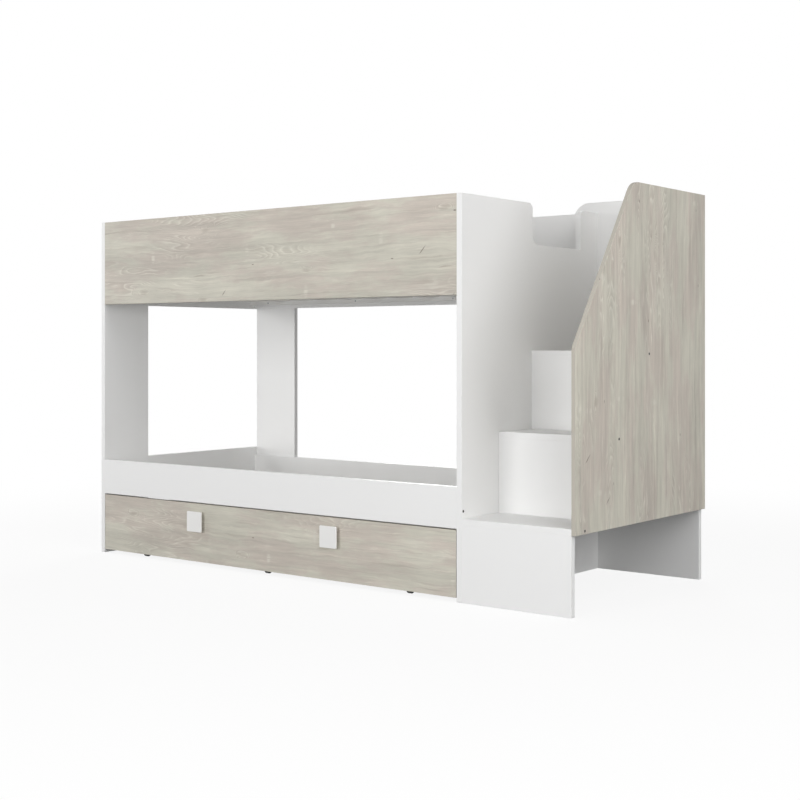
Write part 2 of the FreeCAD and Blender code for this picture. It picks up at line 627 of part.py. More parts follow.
make_left_end()
make_partition()
make_long_boards()
make_bunk_base("lower", LOWER_RAIL_BOTTOM, "lower_front_rail", "lower_rear_rail")
make_bunk_base("upper", upper_cleat_bottom, "upper_front_guard", "upper_rear_guard")
make_steps()
make_stair_rear_panel()
make_stair_side_panel()
fix_bunks()
fix_stairs()
make_trundle_box()
fix_trundle_box()
make_knobs()
make_casters()

for group_name, solids in groups.items():
    pieces[group_name] = Part.makeCompound(solids)

to_origin = Vector(-overall_length / 2, (knob_reach - bed_rear) / 2, 0)
os.makedirs("parts", exist_ok=True)
for piece_name, shape in pieces.items():
    shape.translate(to_origin)
    shape.exportStep("parts/%s.step" % piece_name)
    box = shape.optimalBoundingBox()
    print("%-24s solids %2d  X %8.1f %8.1f  Y %7.1f %7.1f  Z %7.1f %7.1f" % (
        piece_name, len(shape.Solids), box.XMin, box.XMax, box.YMin, box.YMax, box.ZMin, box.ZMax))
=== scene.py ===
# %% [markdown]
# # A bunk bed with a trundle and stairs
# The bed is made of boards: white melamine for most of them, and a pale washed pine print for the
# upper guard, the trundle's front and the side of the stairs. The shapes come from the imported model,
# in metres, and this lesson gives every surface its finish. Nothing is moved or reshaped: the boards
# are already where they belong.

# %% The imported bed
import json
import math

import bpy
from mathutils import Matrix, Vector

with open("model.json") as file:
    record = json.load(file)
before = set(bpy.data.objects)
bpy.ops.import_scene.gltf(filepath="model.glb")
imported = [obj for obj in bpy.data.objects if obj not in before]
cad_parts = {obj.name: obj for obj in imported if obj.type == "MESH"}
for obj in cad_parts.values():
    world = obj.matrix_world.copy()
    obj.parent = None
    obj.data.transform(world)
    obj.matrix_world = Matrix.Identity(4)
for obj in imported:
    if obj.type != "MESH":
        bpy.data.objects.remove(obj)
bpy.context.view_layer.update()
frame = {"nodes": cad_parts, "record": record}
nodes = frame["nodes"]

# %% [markdown]
# ## Camera
# The photograph has upright verticals, so the camera is level and its frame is shifted down, as with a
# view camera. Tilting the camera instead would make the boards lean. The focal length and the place
# were worked out from the edges of the boards.

# %% Camera
CAMERA_PLACE = (3.5528, -4.4306, 0.9143)
CAMERA_TURN = math.radians(38.0)
FOCAL_LENGTH = 61.43
SENSOR_WIDTH = 36.0
PICTURE_SIDE = 800.0
HORIZON_ROW = 345.2


def make_camera():
    data = bpy.data.cameras.new("camera")
    data.lens = FOCAL_LENGTH
    data.sensor_width = SENSOR_WIDTH
    data.shift_y = (HORIZON_ROW - PICTURE_SIDE / 2) / PICTURE_SIDE
    camera = bpy.data.objects.new("camera", data)
    camera.location = CAMERA_PLACE
    camera.rotation_euler = (math.pi / 2, 0.0, CAMERA_TURN)
    bpy.context.scene.collection.objects.link(camera)
    bpy.context.scene.camera = camera
    return camera


camera = make_camera()
print("camera at", CAMERA_PLACE, "shift", round(camera.data.shift_y, 4))

# %% [markdown]
# ## Helpers for shader nodes
# A material is a small tree of nodes. Building one by hand takes three lines per node, so one helper
# adds a node, sets its properties and links or sets its inputs. The others name the steps that come back
# most often: arithmetic, mixing, a soft step, noise, and taking a place apart and putting it together.

# %% Adding and mixing nodes
MIX_SHARE = 0
MIX_VALUES = (2, 3)
MIX_VALUE_RESULT = 0
MIX_COLOURS = (6, 7)
MIX_COLOUR_RESULT = 2


def feed(tree, made, inputs):
    """Fill a node's inputs. An input given as a socket is linked, and anything else is its value."""
    for name, value in inputs.items():
        if isinstance(value, bpy.types.NodeSocket):
            tree.links.new(value, made.inputs[name])
        else:
            made.inputs[name].default_value = value


def add(tree, kind, inputs=None, **settings):
    """Add one shader node with its settings and inputs."""
    made = tree.nodes.new("ShaderNode" + kind)
    for name, value in settings.items():
        setattr(made, name, value)
    feed(tree, made, inputs or {})
    return made


def calculate(tree, operation, *values):
    return add(tree, "Math", dict(enumerate(values)), operation=operation).outputs[0]


def product(tree, first, *others):
    for other in others:
        first = calculate(tree, "MULTIPLY", first, other)
    return first


def mix_value(tree, share, first, second):
    inputs = {MIX_SHARE: share, MIX_VALUES[0]: first, MIX_VALUES[1]: second}
    return add(tree, "Mix", inputs).outputs[MIX_VALUE_RESULT]


def mix_colour(tree, share, first, second, blend="MIX"):
    inputs = {MIX_SHARE: share, MIX_COLOURS[0]: first, MIX_COLOURS[1]: second}
    return add(tree, "Mix", inputs, data_type="RGBA", blend_type=blend).outputs[MIX_COLOUR_RESULT]


def toned(tree, colour, tone):
    """The colour made darker or lighter by a tone, where 1 leaves it as it is."""
    grey = add(tree, "CombineColor", {0: tone, 1: tone, 2: tone}).outputs[0]
    return mix_colour(tree, 1.0, colour, grey, blend="MULTIPLY")


def lay_over(tree, colour, mask, cover, top_colour):
    """The colour with another one over it where the mask says, with a cover from 0 to 1."""
    return mix_colour(tree, product(tree, mask, cover), colour, top_colour)


print("mixing ready")

# %% Steps, noise and places
def soft_step(tree, value, low, high):
    """0 up to low, 1 from high on and a soft rise between them. A low above high makes it fall."""
    made = add(tree, "MapRange", {"Value": value, "From Min": low, "From Max": high},
               interpolation_type="SMOOTHSTEP")
    return made.outputs["Result"]


def between(tree, value, low, high):
    """A value from 0 to 1 brought to the span from low to high."""
    return add(tree, "MapRange", {"Value": value, "To Min": low, "To Max": high}).outputs["Result"]


def stretched(tree, place, scale):
    return add(tree, "VectorMath", {0: place, 1: scale}, operation="MULTIPLY").outputs[0]


def noise(tree, place, waves, detail=2.0, roughness=0.5, warp=0.0):
    """Soft noise from 0 to 1 at a place in metres, with its waves per metre along each axis."""
    made = add(tree, "TexNoise", {"Vector": stretched(tree, place, waves), "Scale": 1.0, "Detail": detail,
                                  "Roughness": roughness, "Distortion": warp})
    return made.outputs[0]


def split(tree, place):
    return add(tree, "SeparateXYZ", {0: place}).outputs


def join(tree, first, second, third):
    return add(tree, "CombineXYZ", {0: first, 1: second, 2: third}).outputs[0]


def own_place(tree):
    """The place in the object's own coordinates, which stay with a board when the trundle rolls out."""
    return add(tree, "TexCoord").outputs["Object"]


print("noise ready")

# %% [markdown]
# ## Groups, materials and the grain's own directions
# An effect that several finishes share is a node group, so it is built once. A board is cut along the
# grain, and its figure is long one way and short the other. So the wood textures work in the grain's own
# directions: first along it, then across the face, then through the board. Each board says which of its
# axes those are, and one pattern serves lying and standing boards alike.

# %% Groups, materials and grain place
AXIS = {"X": 0, "Y": 1, "Z": 2}
PLACE_INPUT = ("Place", "NodeSocketVector", (0.0, 0.0, 0.0))


def new_group(name, inputs, outputs):
    """A node group with named sockets. Gives the group, its inputs as sources and its results."""
    group = bpy.data.node_groups.new(name, "ShaderNodeTree")
    for socket_name, socket_type, value in inputs:
        socket = group.interface.new_socket(socket_name, in_out="INPUT", socket_type=socket_type)
        socket.default_value = value
    for socket_name, socket_type in outputs:
        group.interface.new_socket(socket_name, in_out="OUTPUT", socket_type=socket_type)
    source = group.nodes.new("NodeGroupInput").outputs
    result = group.nodes.new("NodeGroupOutput").inputs
    return group, source, result


def use_group(tree, group, inputs):
    made = tree.nodes.new("ShaderNodeGroup")
    made.node_tree = group
    feed(tree, made, inputs)
    return made.outputs


def new_material(name):
    material = bpy.data.materials.new(name)
    material.use_nodes = True
    tree = material.node_tree
    shader = tree.nodes["Principled BSDF"]
    return material, tree, shader


def raise_surface(tree, shader, height, depth):
    """Lift the surface by height, from 0 to 1, times depth in metres."""
    bump = add(tree, "Bump", {"Height": height, "Distance": depth})
    tree.links.new(bump.outputs["Normal"], shader.inputs["Normal"])


def grain_place(tree, along, across, through):
    """The place on the board, in metres, as along the grain, across it and through the board."""
    parts = split(tree, own_place(tree))
    return join(tree, parts[AXIS[along]], parts[AXIS[across]], parts[AXIS[through]])


print("grain axes", AXIS)

# %% [markdown]
# ## Melamine skin
# Melamine boards are pressed between steel plates with a fine pearl texture, so even a plain white board
# breaks up its reflections a little. The boards and the knobs share that skin, so it is a group: a faint
# cloudiness in the tone, a varied roughness and the pearl as a height.

# %% Melamine skin group
PEARL_WAVES = (900.0, 900.0, 900.0)
CLOUD_WAVES = (3.0, 3.0, 3.0)
CLOUD_TONE = (0.985, 1.0)
HANDLING_WAVES = (11.0, 11.0, 11.0)
HANDLING_ROUGHNESS = 0.06


def make_melamine_skin():
    group, source, result = new_group(
        "melamine skin",
        [PLACE_INPUT, ("Smoothness", "NodeSocketFloat", 0.5)],
        [("Tone", "NodeSocketFloat"), ("Roughness", "NodeSocketFloat"), ("Pearl", "NodeSocketFloat")])
    place = source["Place"]
    clouds = noise(group, place, CLOUD_WAVES, detail=3.0)
    handling = noise(group, place, HANDLING_WAVES, detail=4.0, roughness=0.6)
    change = between(group, handling, -HANDLING_ROUGHNESS, HANDLING_ROUGHNESS)
    base = calculate(group, "SUBTRACT", 1.0, source["Smoothness"])
    group.links.new(between(group, clouds, *CLOUD_TONE), result["Tone"])
    group.links.new(calculate(group, "ADD", base, change), result["Roughness"])
    group.links.new(noise(group, place, PEARL_WAVES, detail=1.0), result["Pearl"])
    return group


melamine_skin = make_melamine_skin()
print("group", melamine_skin.name, "sockets", [s.name for s in melamine_skin.interface.items_tree])

# %% [markdown]
# ## White boards and knobs
# A white board isn't pure white: it has to leave room for light and shade, so its colour is about 0.84.
# The knobs are lacquered, so they are a little smoother and a little warmer than the boards.

# %% White finishes
WHITE_BOARD = (0.845, 0.845, 0.84, 1.0)
WHITE_KNOB = (0.83, 0.825, 0.81, 1.0)
PEARL_DEPTH = 0.00006


def make_white(name, colour, smoothness):
    material, tree, shader = new_material(name)
    skin = use_group(tree, melamine_skin, {"Place": own_place(tree), "Smoothness": smoothness})
    tree.links.new(toned(tree, colour, skin["Tone"]), shader.inputs["Base Color"])
    tree.links.new(skin["Roughness"], shader.inputs["Roughness"])
    raise_surface(tree, shader, skin["Pearl"], PEARL_DEPTH)
    return material


white_melamine = make_white("board_white", WHITE_BOARD, smoothness=0.52)
knob_white = make_white("knob_lacquer", WHITE_KNOB, smoothness=0.66)
print("white finishes", white_melamine.name, knob_white.name)

# %% [markdown]
# ## Washed pine print
# The print shows pine under a thin white wash. Soft patches drift between a greenish and a pinkish beige,
# streaks and fibres run along the grain, growth rings open into faint flames, and there are a few knots,
# pale strokes across the grain, dark slits and specks. An image could be pasted on, but it would repeat
# and would not follow the edges. Here most of the figure is noise that is stretched along the grain, from
# wide bands down to single fibres. It is made in five steps, and a group then puts them together.
#
# The first step bends the grain. Straight streaks look ruled, so the place across the board drifts to and
# fro, and a finer noise gives every streak a ragged edge.

# %% Grain that drifts
GRAIN_DRIFT = 0.032
DRIFT_WAVES = (1.0, 2.4, 2.4)
RAGGED_REACH = 0.009
RAGGED_WAVES = (12.0, 38.0, 38.0)


def drifting_grain(tree, place):
    drift = between(tree, noise(tree, place, DRIFT_WAVES), -GRAIN_DRIFT, GRAIN_DRIFT)
    ragged = between(tree, noise(tree, place, RAGGED_WAVES, detail=3.0), -RAGGED_REACH, RAGGED_REACH)
    along, across, through = split(tree, place)
    moved = calculate(tree, "ADD", across, calculate(tree, "ADD", drift, ragged))
    return join(tree, along, moved, through)


print("grain drifts by", GRAIN_DRIFT, "m")

# %% [markdown]
# ### Bands, streaks and fibres
# Each of these is one noise with its own waves per metre along the grain, across it and through the
# board. Those that are patches with an edge go through a soft step, and those that only make the wood
# lighter or darker are brought to a span about 1 and multiplied.

# %% Bands, streaks and fibres
PATCH_WAVES = (2.6, 9.0, 9.0)
PATCH_EDGE = (0.43, 0.59)
LATE_WAVES = (2.4, 60.0, 60.0)
LATE_EDGE = (0.56, 0.74)
FLECK_WAVES = (8.0, 52.0, 52.0)
FLECK_EDGE = (0.56, 0.72)
BLOTCH_WAVES = (4.0, 13.0, 13.0)
BAND_WAVES = (0.7, 12.0, 12.0)
STREAK_WAVES = (3.2, 78.0, 78.0)
FIBRE_WAVES = (8.0, 430.0, 430.0)
TONE_SPAN = {"band": (0.84, 1.16), "streak": (0.77, 1.23), "blotch": (0.82, 1.18), "fibre": (0.85, 1.15)}


def pine_figure(tree, grain):
    """The print's noises by name, each from 0 to 1."""
    patch = noise(tree, grain, PATCH_WAVES, detail=6.0, roughness=0.68)
    late = noise(tree, grain, LATE_WAVES, detail=3.0, roughness=0.6)
    fleck = noise(tree, grain, FLECK_WAVES, detail=4.0, roughness=0.6)
    return {
        "patch": soft_step(tree, patch, *PATCH_EDGE),
        "late": soft_step(tree, late, *LATE_EDGE),
        "fleck": soft_step(tree, fleck, *FLECK_EDGE),
        "blotch": noise(tree, grain, BLOTCH_WAVES, detail=4.0, roughness=0.6),
        "band": noise(tree, grain, BAND_WAVES),
        "streak": noise(tree, grain, STREAK_WAVES, detail=3.0, roughness=0.6),
        "fibre": noise(tree, grain, FIBRE_WAVES, detail=3.0, roughness=0.6),
    }


def pine_tone(tree, figure):
    return product(tree, *[between(tree, figure[name], *span) for name, span in TONE_SPAN.items()])


print("tones of the print", TONE_SPAN)

# %% [markdown]
# ### Scattered marks
# Knots, strokes, cracks, slits and specks are all the same thing at different sizes: an oval about a
# scattered point. A Voronoi texture gives the nearest point and a random colour for it, so the colour
# decides which points have a mark, and the distance to the point gives its shape.

# %% Scattered marks
MARK_RIM = 1.0
MARK_FULL = 0.3


def scattered(tree, place, per_metre, half_size, share):
    """Oval marks about scattered points, for a share of those points.

    Gives 1 at a mark's middle falling to 0 at its rim, and how far the place is from the middle in rims.
    """
    scaled = stretched(tree, place, per_metre + (0.0,))
    point = add(tree, "TexVoronoi", {"Vector": scaled, "Scale": 1.0}, voronoi_dimensions="2D").outputs
    offset = add(tree, "VectorMath", {0: scaled, 1: point["Position"]}, operation="SUBTRACT").outputs[0]
    to_rims = tuple(1.0 / (number * size) for number, size in zip(per_metre, half_size)) + (0.0,)
    distance = add(tree, "VectorMath", {0: stretched(tree, offset, to_rims)}, operation="LENGTH")
    rims = distance.outputs["Value"]
    chance = add(tree, "SeparateColor", {0: point["Color"]}).outputs[0]
    chosen = calculate(tree, "LESS_THAN", chance, share)
    return product(tree, chosen, soft_step(tree, rims, MARK_RIM, MARK_FULL)), rims


print("marks fade from", MARK_FULL, "to", MARK_RIM, "of their size")

# %% [markdown]
# ### Rings, flames and knots
# A flat-sawn board cuts the tree's cones at a low angle, and that opens the rings into flames. The contour
# lines of a stretched noise do the same. Near a knot the noise is lifted, so the rings close round it. The
# rings show only in some places, as on the real print, and about the knots.

# %% Rings, flames and knots
RING_WAVES = (1.3, 8.5, 8.5)
RING_COUNT = 42.0
DARK_LINE = {"rise": (0.35, 0.85), "fall": (1.0, 0.88)}
PALE_LINE = {"rise": (0.0, 0.06), "fall": (0.34, 0.12)}
FLAME_WAVES = (1.8, 7.0, 7.0)
FLAME_EDGE = (0.51, 0.64)
KNOT_MARKS = {"per_metre": (1.7, 5.6), "half_size": (0.085, 0.036)}
KNOT_LIFT = 0.13
KNOT_CORE = (0.34, 0.10)


def ring_line(tree, ring, rise, fall):
    """A line in every ring that comes in over rise and goes out over fall, as shares of the ring."""
    return product(tree, soft_step(tree, ring, *rise), soft_step(tree, ring, *fall))


def pine_rings(tree, place, grain, knot_share):
    """The rings' dark lines, their pale lines and the cores of the knots."""
    halo, rims = scattered(tree, grain, share=knot_share, **KNOT_MARKS)
    core = product(tree, halo, soft_step(tree, rims, *KNOT_CORE))
    field = calculate(tree, "ADD", noise(tree, grain, RING_WAVES), product(tree, halo, KNOT_LIFT))
    ring = calculate(tree, "FRACT", product(tree, field, RING_COUNT))
    flames = soft_step(tree, noise(tree, place, FLAME_WAVES, detail=4.0), *FLAME_EDGE)
    shown = calculate(tree, "MAXIMUM", flames, halo)
    dark = product(tree, shown, ring_line(tree, ring, **DARK_LINE))
    pale = product(tree, shown, ring_line(tree, ring, **PALE_LINE))
    return dark, pale, core


print("rings", RING_COUNT)

# %% [markdown]
# ### Strokes, cracks, slits and specks
# The wash leaves short pale strokes across the grain, broken by the streaks. Cracks run along the grain,
# and slits lean: their place along the board is shifted by their place across it.

# %% Strokes, cracks, slits and specks
STROKE_MARKS = {"per_metre": (3.0, 6.0), "half_size": (0.014, 0.034), "share": 0.48}
STROKE_BREAK = (0.40, 0.62)
CRACK_MARKS = {"per_metre": (1.6, 8.0), "half_size": (0.045, 0.0036), "share": 0.15}
SLIT_MARKS = {"per_metre": (3.4, 9.0), "half_size": (0.0042, 0.017), "share": 0.10}
SLIT_LEAN = 0.9
SPECK_MARKS = {"per_metre": (7.0, 16.0), "half_size": (0.0085, 0.0034), "share": 0.04}


def pine_marks(tree, place, grain, streak):
    """Pale strokes, cracks, slits and specks, each as a mask."""
    along, across, _ = split(tree, place)
    shifted = calculate(tree, "SUBTRACT", along, product(tree, across, SLIT_LEAN))
    leaning = join(tree, shifted, split(tree, grain)[1], 0.0)
    stroke, _ = scattered(tree, grain, **STROKE_MARKS)
    crack, _ = scattered(tree, grain, **CRACK_MARKS)
    slit, _ = scattered(tree, leaning, **SLIT_MARKS)
    speck, _ = scattered(tree, grain, **SPECK_MARKS)
    broken_stroke = product(tree, stroke, soft_step(tree, streak, *STROKE_BREAK))
    return broken_stroke, crack, slit, speck


print("slits lean by", SLIT_LEAN)

# %% [markdown]
# ### The whole print
# The group lays the figure over the two base colours, one layer after another, and each layer has a cover
# of its own. Roughness and height follow the same fibres, so the gloss breaks where the colour does.

# %% Washed pine group
PINE_GREEN = (0.561, 0.541, 0.466, 1.0)
PINE_PINK = (0.530, 0.480, 0.424, 1.0)
PINE_PALE = (0.659, 0.633, 0.561, 1.0)
PINE_LATE = (0.381, 0.336, 0.286, 1.0)
PINE_KNOT = (0.330, 0.276, 0.228, 1.0)
PINE_SLIT = (0.170, 0.136, 0.110, 1.0)
FLECK_COVER = 0.38
LATE_COVER = 0.46
DARK_LINE_COVER = 0.30
PALE_LINE_COVER = 0.64
KNOT_COVER = 0.32
STROKE_COVER = 0.85
CRACK_COVER = 0.55
SLIT_COVER = 0.75
PINE_ROUGHNESS = (0.46, 0.60)
FLECK_ROUGHNESS = 0.05
FIBRE_HEIGHT = 0.8
LATE_DEPTH = 0.4


def make_washed_pine():
    group, source, result = new_group(
        "washed pine",
        [PLACE_INPUT, ("Knots", "NodeSocketFloat", 0.3)],
        [("Colour", "NodeSocketColor"), ("Roughness", "NodeSocketFloat"), ("Height", "NodeSocketFloat")])
    place = source["Place"]
    grain = drifting_grain(group, place)
    figure = pine_figure(group, grain)
    dark, pale, core = pine_rings(group, place, grain, source["Knots"])
    stroke, crack, slit, speck = pine_marks(group, place, grain, figure["streak"])

    colour = mix_colour(group, figure["patch"], PINE_GREEN, PINE_PINK)
    colour = lay_over(group, colour, figure["fleck"], FLECK_COVER, PINE_PALE)
    colour = lay_over(group, colour, figure["late"], LATE_COVER, PINE_LATE)
    colour = lay_over(group, colour, dark, DARK_LINE_COVER, PINE_LATE)
    colour = lay_over(group, colour, pale, PALE_LINE_COVER, PINE_PALE)
    colour = toned(group, colour, pine_tone(group, figure))
    colour = lay_over(group, colour, core, KNOT_COVER, PINE_KNOT)
    colour = lay_over(group, colour, stroke, STROKE_COVER, PINE_PALE)
    colour = lay_over(group, colour, crack, CRACK_COVER, PINE_KNOT)
    colour = lay_over(group, colour, calculate(group, "MAXIMUM", slit, speck), SLIT_COVER, PINE_SLIT)

    fibre_roughness = between(group, figure["fibre"], *PINE_ROUGHNESS)
    fleck_roughness = product(group, figure["fleck"], FLECK_ROUGHNESS)
    cut = calculate(group, "MAXIMUM", slit, crack)
    sunk = calculate(group, "ADD", cut, product(group, figure["late"], LATE_DEPTH))
    fibre_height = between(group, figure["fibre"], 0.0, FIBRE_HEIGHT)
    group.links.new(colour, result["Colour"])
    group.links.new(calculate(group, "ADD", fibre_roughness, fleck_roughness), result["Roughness"])
    group.links.new(calculate(group, "SUBTRACT", fibre_height, sunk), result["Height"])
    return group


washed_pine = make_washed_pine()
print("group", washed_pine.name, "nodes", len(washed_pine.nodes))

# %% [markdown]
# ## The three printed boards
# The guard and the trundle's front lie with their grain along the bed. The side of the stairs stands, so
# its grain runs up. There is a material for each direction, with the same group in it. The print is on the
# two faces only: the narrow edges are banded with a plain, slightly darker strip, so the surface's own
# normal decides between print and band.

# %% Printed boards
PINE_RELIEF = 0.00008
PINE_SPECULAR = 0.3
PINE_BAND = (0.489, 0.461, 0.404, 1.0)
BAND_ROUGHNESS = 0.9
PRINT_FACING = (0.6, 0.8)
KNOT_SHARE = 0.42


def make_pine_decor(name, along, across, through):
    material, tree, shader = new_material(name)
    place = grain_place(tree, along, across, through)
    wood = use_group(tree, washed_pine, {"Place": place, "Knots": KNOT_SHARE})
    facing = split(tree, add(tree, "TexCoord").outputs["Normal"])[AXIS[through]]
    printed = soft_step(tree, calculate(tree, "ABSOLUTE", facing), *PRINT_FACING)
    colour = mix_colour(tree, printed, PINE_BAND, wood["Colour"])
    rough = mix_value(tree, printed, BAND_ROUGHNESS, wood["Roughness"])
    tree.links.new(colour, shader.inputs["Base Color"])
    tree.links.new(rough, shader.inputs["Roughness"])
    shader.inputs["Specular IOR Level"].default_value = PINE_SPECULAR
    raise_surface(tree, shader, wood["Height"], PINE_RELIEF)
    return material


pine_lying = make_pine_decor("pine_print_lying", "X", "Z", "Y")
pine_standing = make_pine_decor("pine_print_standing", "Z", "Y", "X")
print("printed boards", pine_lying.name, pine_standing.name)

# %% [markdown]
# ## Slats and bearers
# Slats, cleats and bearers are planed softwood. The slats are left plain, and cleats and bearers have a
# thick white stain, so that little of their grain is left. Each slat comes from another plank, so its
# number along the bed gives it a tone of its own.

# %% Softwood group
SOFTWOOD_LIGHT = (0.760, 0.745, 0.712, 1.0)
SOFTWOOD_DARK = (0.655, 0.625, 0.575, 1.0)
SOFTWOOD_KNOT = (0.400, 0.335, 0.260, 1.0)
WHITE_STAIN = (0.850, 0.845, 0.830, 1.0)
SOFTWOOD_RING_WAVES = (1.1, 17.0, 17.0)
SOFTWOOD_RING_COUNT = 11.0
LATE_WOOD_LINE = {"rise": (0.30, 0.92), "fall": (1.0, 0.94)}
LATE_WOOD_COVER = 0.7
LATE_WOOD_DEPTH = 0.4
SOFTWOOD_FIBRE_WAVES = (9.0, 500.0, 500.0)
SOFTWOOD_FIBRE_TONE = (0.88, 1.12)
SOFTWOOD_ROUGHNESS = (0.55, 0.72)
SOFTWOOD_KNOT_MARKS = {"per_metre": (2.6, 9.0), "half_size": (0.014, 0.009), "share": 0.16}
SOFTWOOD_KNOT_COVER = 0.8
SLAT_PITCH = 0.15
PLANK_TONE = (0.86, 1.08)


def make_softwood_group():
    group, source, result = new_group(
        "planed softwood",
        [PLACE_INPUT, ("Plank Width", "NodeSocketFloat", SLAT_PITCH), ("Stain", "NodeSocketFloat", 0.0)],
        [("Colour", "NodeSocketColor"), ("Roughness", "NodeSocketFloat"), ("Height", "NodeSocketFloat")])
    place = source["Place"]
    across = split(group, place)[1]
    plank = calculate(group, "FLOOR", calculate(group, "DIVIDE", across, source["Plank Width"]))
    chance = add(group, "TexWhiteNoise", {"W": plank}, noise_dimensions="1D").outputs[0]
    field = noise(group, place, SOFTWOOD_RING_WAVES, detail=1.5, roughness=0.4, warp=0.2)
    ring = calculate(group, "FRACT", product(group, field, SOFTWOOD_RING_COUNT))
    late_wood = ring_line(group, ring, **LATE_WOOD_LINE)
    fibre = noise(group, place, SOFTWOOD_FIBRE_WAVES, detail=4.0, roughness=0.65)
    knot, _ = scattered(group, place, **SOFTWOOD_KNOT_MARKS)
    fibre_tone = between(group, fibre, *SOFTWOOD_FIBRE_TONE)
    plank_tone = between(group, chance, *PLANK_TONE)

    colour = lay_over(group, SOFTWOOD_LIGHT, late_wood, LATE_WOOD_COVER, SOFTWOOD_DARK)
    colour = toned(group, colour, product(group, fibre_tone, plank_tone))
    colour = lay_over(group, colour, knot, SOFTWOOD_KNOT_COVER, SOFTWOOD_KNOT)
    colour = mix_colour(group, source["Stain"], colour, WHITE_STAIN)
    sunk = product(group, late_wood, LATE_WOOD_DEPTH)
    group.links.new(colour, result["Colour"])
    group.links.new(between(group, fibre, *SOFTWOOD_ROUGHNESS), result["Roughness"])
    group.links.new(calculate(group, "SUBTRACT", fibre, sunk), result["Height"])
    return group


planed_softwood = make_softwood_group()
print("group", planed_softwood.name, "nodes", len(planed_softwood.nodes))

# %% Softwood finishes
SOFTWOOD_RELIEF = 0.00015
SLAT_STAIN = 0.0
CLEAT_STAIN = 0.85


def make_softwood(name, along, across, through, stain):
    material, tree, shader = new_material(name)
    place = grain_place(tree, along, across, through)
    wood = use_group(tree, planed_softwood, {"Place": place, "Stain": stain})
    tree.links.new(wood["Colour"], shader.inputs["Base Color"])
    tree.links.new(wood["Roughness"], shader.inputs["Roughness"])
    raise_surface(tree, shader, wood["Height"], SOFTWOOD_RELIEF)
    return material


slat_wood = make_softwood("softwood_slats", "Y", "X", "Z", SLAT_STAIN)
cleat_wood = make_softwood("softwood_cleats", "X", "Z", "Y", CLEAT_STAIN)
print("softwood for slats and cleats", slat_wood.name, cleat_wood.name)

# %% [markdown]
# ## Metal and black plastic
# Screws, bolts and cams are zinc plated: a bluish grey metal with cloudy, uneven gloss. The forks of the
# casters are black enamel and the wheels black plastic that has picked up some dust from the floor. A
# group gives all three their fine scatter of lighter and rougher spots.

# %% Wear group
SPOT_WAVES = (1.0, 1.0, 1.0)
SPOT_EDGE = (0.42, 0.68)
SCRATCH_WAVES = (0.6, 6.0, 6.0)
SCRATCH_EDGE = (0.55, 0.75)


def make_wear():
    """Spots and scratches. Their waves are counted in spots, so one input sets the size of both."""
    group, source, result = new_group(
        "wear",
        [PLACE_INPUT, ("Spots Per Metre", "NodeSocketFloat", 300.0)],
        [("Spots", "NodeSocketFloat"), ("Scratches", "NodeSocketFloat")])
    inputs = {0: source["Place"], "Scale": source["Spots Per Metre"]}
    scaled = add(group, "VectorMath", inputs, operation="SCALE").outputs[0]
    spots = noise(group, scaled, SPOT_WAVES, detail=5.0, roughness=0.62)
    scratches = noise(group, scaled, SCRATCH_WAVES)
    group.links.new(soft_step(group, spots, *SPOT_EDGE), result["Spots"])
    group.links.new(soft_step(group, scratches, *SCRATCH_EDGE), result["Scratches"])
    return group


wear = make_wear()
print("group", wear.name, "nodes", len(wear.nodes))

# %% Finishes of the small parts
ZINC = (0.50, 0.51, 0.53, 1.0)
ZINC_DULL = (0.36, 0.365, 0.375, 1.0)
BLACK_ENAMEL = (0.010, 0.010, 0.011, 1.0)
BLACK_ENAMEL_WORN = (0.036, 0.035, 0.034, 1.0)
BLACK_WHEEL = (0.008, 0.008, 0.009, 1.0)
WHEEL_DUST = (0.040, 0.038, 0.035, 1.0)
SCRATCH_SHARE = 0.6
SCRATCH_DEPTH = 0.00003
WORN_ROUGHNESS = 0.22


def make_small_part(name, colour, worn_colour, metallic, roughness, spots_per_metre):
    """A small part's finish: colour where it is sound, worn_colour where the wear group says."""
    material, tree, shader = new_material(name)
    worn = use_group(tree, wear, {"Place": own_place(tree), "Spots Per Metre": spots_per_metre})
    share = calculate(tree, "MAXIMUM", worn["Spots"], product(tree, worn["Scratches"], SCRATCH_SHARE))
    rough = between(tree, share, roughness, roughness + WORN_ROUGHNESS)
    tree.links.new(mix_colour(tree, share, colour, worn_colour), shader.inputs["Base Color"])
    tree.links.new(rough, shader.inputs["Roughness"])
    shader.inputs["Metallic"].default_value = metallic
    raise_surface(tree, shader, worn["Scratches"], SCRATCH_DEPTH)
    return material


zinc_steel = make_small_part("zinc_plate", ZINC, ZINC_DULL,
                             metallic=1.0, roughness=0.30, spots_per_metre=260.0)
black_steel = make_small_part("black_enamel", BLACK_ENAMEL, BLACK_ENAMEL_WORN,
                              metallic=0.0, roughness=0.34, spots_per_metre=120.0)
black_plastic = make_small_part("black_wheel", BLACK_WHEEL, WHEEL_DUST,
                                metallic=0.0, roughness=0.52, spots_per_metre=90.0)
print("small parts", zinc_steel.name, black_steel.name, black_plastic.name)

# %% [markdown]
# ## Giving each piece its finish
# The record names a material slot for every node. Most slots are one finish. Printed boards and softwood
# also need the direction of their grain, so a few nodes are named here.

# %% Finishes on the nodes
FINISH_OF_SLOT = {
    "white_melamine": white_melamine,
    "pine_decor": pine_lying,
    "slat_wood": cleat_wood,
    "knob_white": knob_white,
    "zinc_steel": zinc_steel,
    "black_steel": black_steel,
    "black_plastic": black_plastic,
}
FINISH_OF_NODE = {
    "stair_side_panel": pine_standing,
    "lower_slats": slat_wood,
    "upper_slats": slat_wood,
    "trundle_slats": slat_wood,
}


def finish_nodes():
    for part in frame["record"]["subparts"]:
        name = part["node"]
        finish = FINISH_OF_NODE.get(name, FINISH_OF_SLOT[part["material_slot"]])
        for material_slot in nodes[name].material_slots:
            material_slot.material = finish


